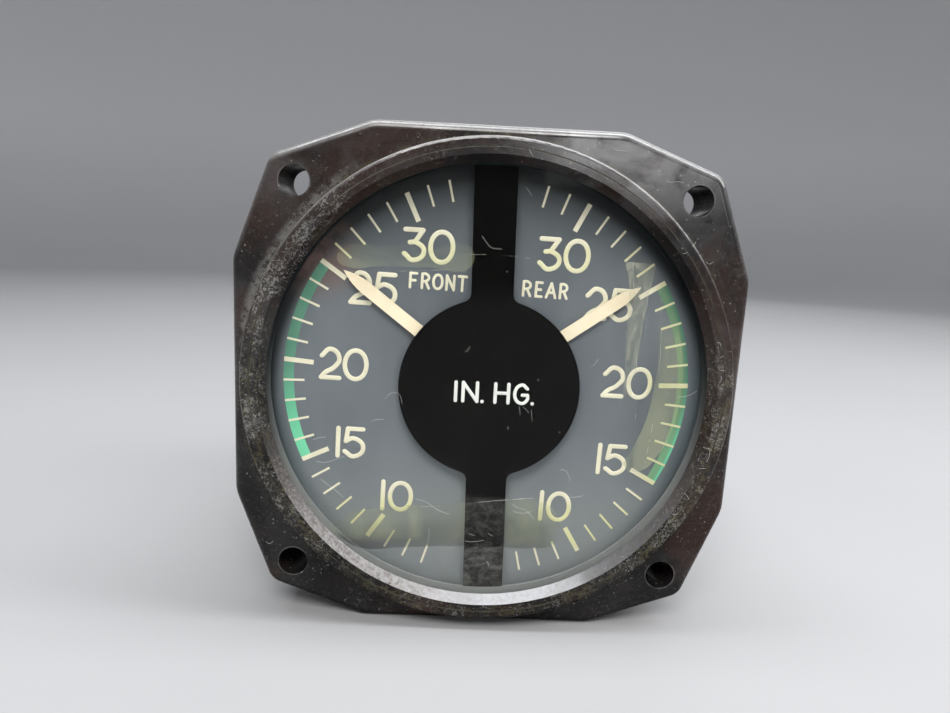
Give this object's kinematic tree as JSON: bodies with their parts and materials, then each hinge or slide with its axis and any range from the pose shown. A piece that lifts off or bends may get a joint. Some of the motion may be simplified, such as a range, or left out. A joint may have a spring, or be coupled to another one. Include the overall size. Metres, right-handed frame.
{
  "type": "dual manifold pressure indicator",
  "caption": "Round panel instrument with two pointers over one dial, geared to pressure capsules, in a flanged case with two rear pressure ports.",
  "frame": {"origin": "centre of the four panel screws, in the plane of the flange's front face, which bears on the back of the instrument panel", "axes": "-Y points out of the dial towards the reader, +Y runs back into the case, +Z is towards the top of the dial, +X is to its right"},
  "size_m": [0.0826, 0.087, 0.0826],
  "materials": {
    "case": "black moulded phenolic, worn and dusty",
    "bezel_ring": "dull black paint over aluminium, dusty",
    "cover_glass": "clear glass with tape residue and dust",
    "rubber": "black cork and rubber sheet",
    "mask_plate": "matte black paint",
    "spacer_ring": "matte grey paint",
    "dial": "matte blue-grey paint",
    "scale_marks": "thick cream luminous paint",
    "green_arcs": "green paint",
    "pointers": "cream luminous paint",
    "brass": "bright rolled brass",
    "steel": "turned steel",
    "frame": "cast and machined aluminium",
    "rear_cover": "black wrinkle paint",
    "copper": "copper tube",
    "capsules": "beryllium copper",
    "hairsprings": "fine bronze strip"
  },
  "bodies": {
    "case": {"case": "case", "bezel_ring": "bezel_ring", "cover_glass": "cover_glass", "glass_gasket": "rubber", "mask_plate": "mask_plate", "spacer_ring": "spacer_ring", "dial": "dial", "scale_marks": "scale_marks", "green_arcs": "green_arcs", "dial_posts": "brass", "dial_screws": "steel", "front_plate": "brass", "bridge_plate": "brass", "front_pillars": "brass", "rear_pillars": "brass", "mount_posts": "brass", "plate_screws": "steel", "back_frame": "frame", "rear_cover": "rear_cover", "rear_gasket": "rubber", "cover_screws": "steel", "mount_screws": "steel", "capsule_stems": "brass", "capsule_nuts": "brass", "hairspring_studs": "brass", "port_nuts": "brass", "hairspring_front": "hairsprings", "pressure_capsule_front": "capsules", "aneroid_capsule_front": "capsules", "port_fitting_front": "brass", "pressure_tube_front": "copper", "hairspring_rear": "hairsprings", "pressure_capsule_rear": "capsules", "aneroid_capsule_rear": "capsules", "port_fitting_rear": "brass", "pressure_tube_rear": "copper"},
    "front_sector": {"sector_gear_front": "brass", "sector_shaft_front": "steel", "sector_arm_front": "brass"},
    "front_pointer": {"pointer_front": "pointers", "arbor_front": "steel"},
    "front_link": {"link_front": "steel"},
    "front_block": {"centre_block_front": "brass"},
    "rear_sector": {"sector_gear_rear": "brass", "sector_shaft_rear": "steel", "sector_arm_rear": "brass"},
    "rear_pointer": {"pointer_rear": "pointers", "arbor_rear": "steel"},
    "rear_link": {"link_rear": "steel"},
    "rear_block": {"centre_block_rear": "brass"}
  },
  "joints": [
    {"name": "front_sector_turn", "type": "hinge", "parent": "case", "child": "front_sector", "pos_m": [-0.021, 0, 0], "axis": [0, 1, 0], "range_deg": [-5.1, 12.8], "stiffness_Nm_per_rad": 0.02},
    {"name": "front_pointer_turn", "type": "hinge", "parent": "case", "child": "front_pointer", "pos_m": [0, 0, 0], "axis": [0, 1, 0], "range_deg": [-115.3, 46], "deforming": ["hairspring_front"]},
    {"name": "front_block_slide", "type": "slide", "parent": "case", "child": "front_block", "axis": [0, 0, 1], "range_m": [-0.0018, 0.00072], "deforming": ["pressure_capsule_front", "aneroid_capsule_front"]},
    {"name": "front_link_turn", "type": "hinge", "parent": "front_sector", "child": "front_link", "pos_m": [-0.013, 0, 0], "axis": [0, 1, 0], "range_deg": [-12.9, 5.2]},
    {"name": "rear_sector_turn", "type": "hinge", "parent": "case", "child": "rear_sector", "pos_m": [0.021, 0, 0], "axis": [0, 1, 0], "range_deg": [-13.2, 5], "stiffness_Nm_per_rad": 0.02},
    {"name": "rear_pointer_turn", "type": "hinge", "parent": "case", "child": "rear_pointer", "pos_m": [0, 0, 0], "axis": [0, 1, 0], "range_deg": [-45.1, 118.9], "deforming": ["hairspring_rear"]},
    {"name": "rear_block_slide", "type": "slide", "parent": "case", "child": "rear_block", "axis": [0, 0, 1], "range_m": [-0.00185, 0.00071], "deforming": ["pressure_capsule_rear", "aneroid_capsule_rear"]},
    {"name": "rear_link_turn", "type": "hinge", "parent": "rear_sector", "child": "rear_link", "pos_m": [0.013, 0, 0], "axis": [0, 1, 0], "range_deg": [-5.1, 13.3]}
  ],
  "couplings": [
    {"joint": "front_pointer_turn", "follows": "front_sector_turn", "ratio": -9},
    {"joint": "front_block_slide", "follows": "front_sector_turn", "m_per_rad": -0.008},
    {"joint": "front_link_turn", "follows": "front_sector_turn", "ratio": -1},
    {"joint": "rear_pointer_turn", "follows": "rear_sector_turn", "ratio": -9},
    {"joint": "rear_block_slide", "follows": "rear_sector_turn", "m_per_rad": 0.008},
    {"joint": "rear_link_turn", "follows": "rear_sector_turn", "ratio": -1}
  ]
}
